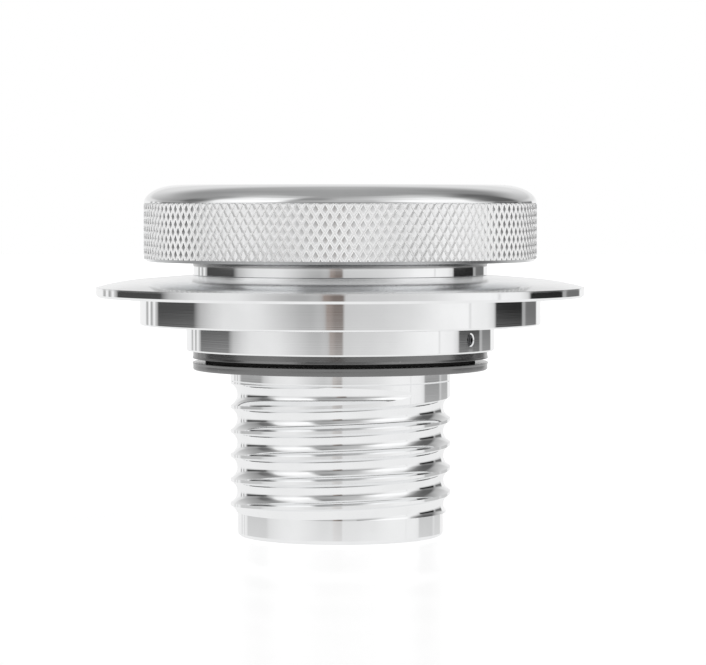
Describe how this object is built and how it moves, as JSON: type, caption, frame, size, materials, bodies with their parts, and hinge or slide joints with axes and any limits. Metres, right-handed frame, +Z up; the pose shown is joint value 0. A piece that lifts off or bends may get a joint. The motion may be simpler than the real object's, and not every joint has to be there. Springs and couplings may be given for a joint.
{
  "type": "fuel cap",
  "caption": "Round screw-on fuel cap with a diamond-knurled rim on a domed filler flange, with stepped tiers, rubber gaskets and a barbed hose neck below.",
  "frame": {"origin": "on the axis, in the plane of the hose neck's lower end", "axes": "+Z up along the axis, from the neck to the cap; -Y is the front; +X is to the right of the front"},
  "size_m": [0.09, 0.09, 0.0647],
  "materials": {
    "cap_aluminium": "polished",
    "flange_aluminium": "polished",
    "neck_aluminium": "fine turned",
    "gasket_rubber": "matt moulded",
    "seal_rubber": "smooth moulded",
    "screw_steel": "dark oxide"
  },
  "bodies": {
    "filler": {"filler_flange": "flange_aluminium", "hose_neck": "neck_aluminium", "upper_gasket": "gasket_rubber", "lower_gasket": "gasket_rubber", "neck_seal": "seal_rubber", "set_screw": "screw_steel"},
    "seal": {"cap_seal": "seal_rubber"},
    "cap": {"cap": "cap_aluminium"}
  },
  "joints": [
    {"name": "cap_rise", "type": "slide", "parent": "filler", "child": "seal", "axis": [0, 0, 1], "range_m": [0, 0.0045]},
    {"name": "cap_turn", "type": "hinge", "parent": "seal", "child": "cap", "pos_m": [0, 0, 0.0484], "axis": [0, 0, 1], "range_deg": [0, 810]}
  ],
  "couplings": [
    {"joint": "cap_rise", "follows": "cap_turn", "m_per_rad": 0.0003183}
  ]
}
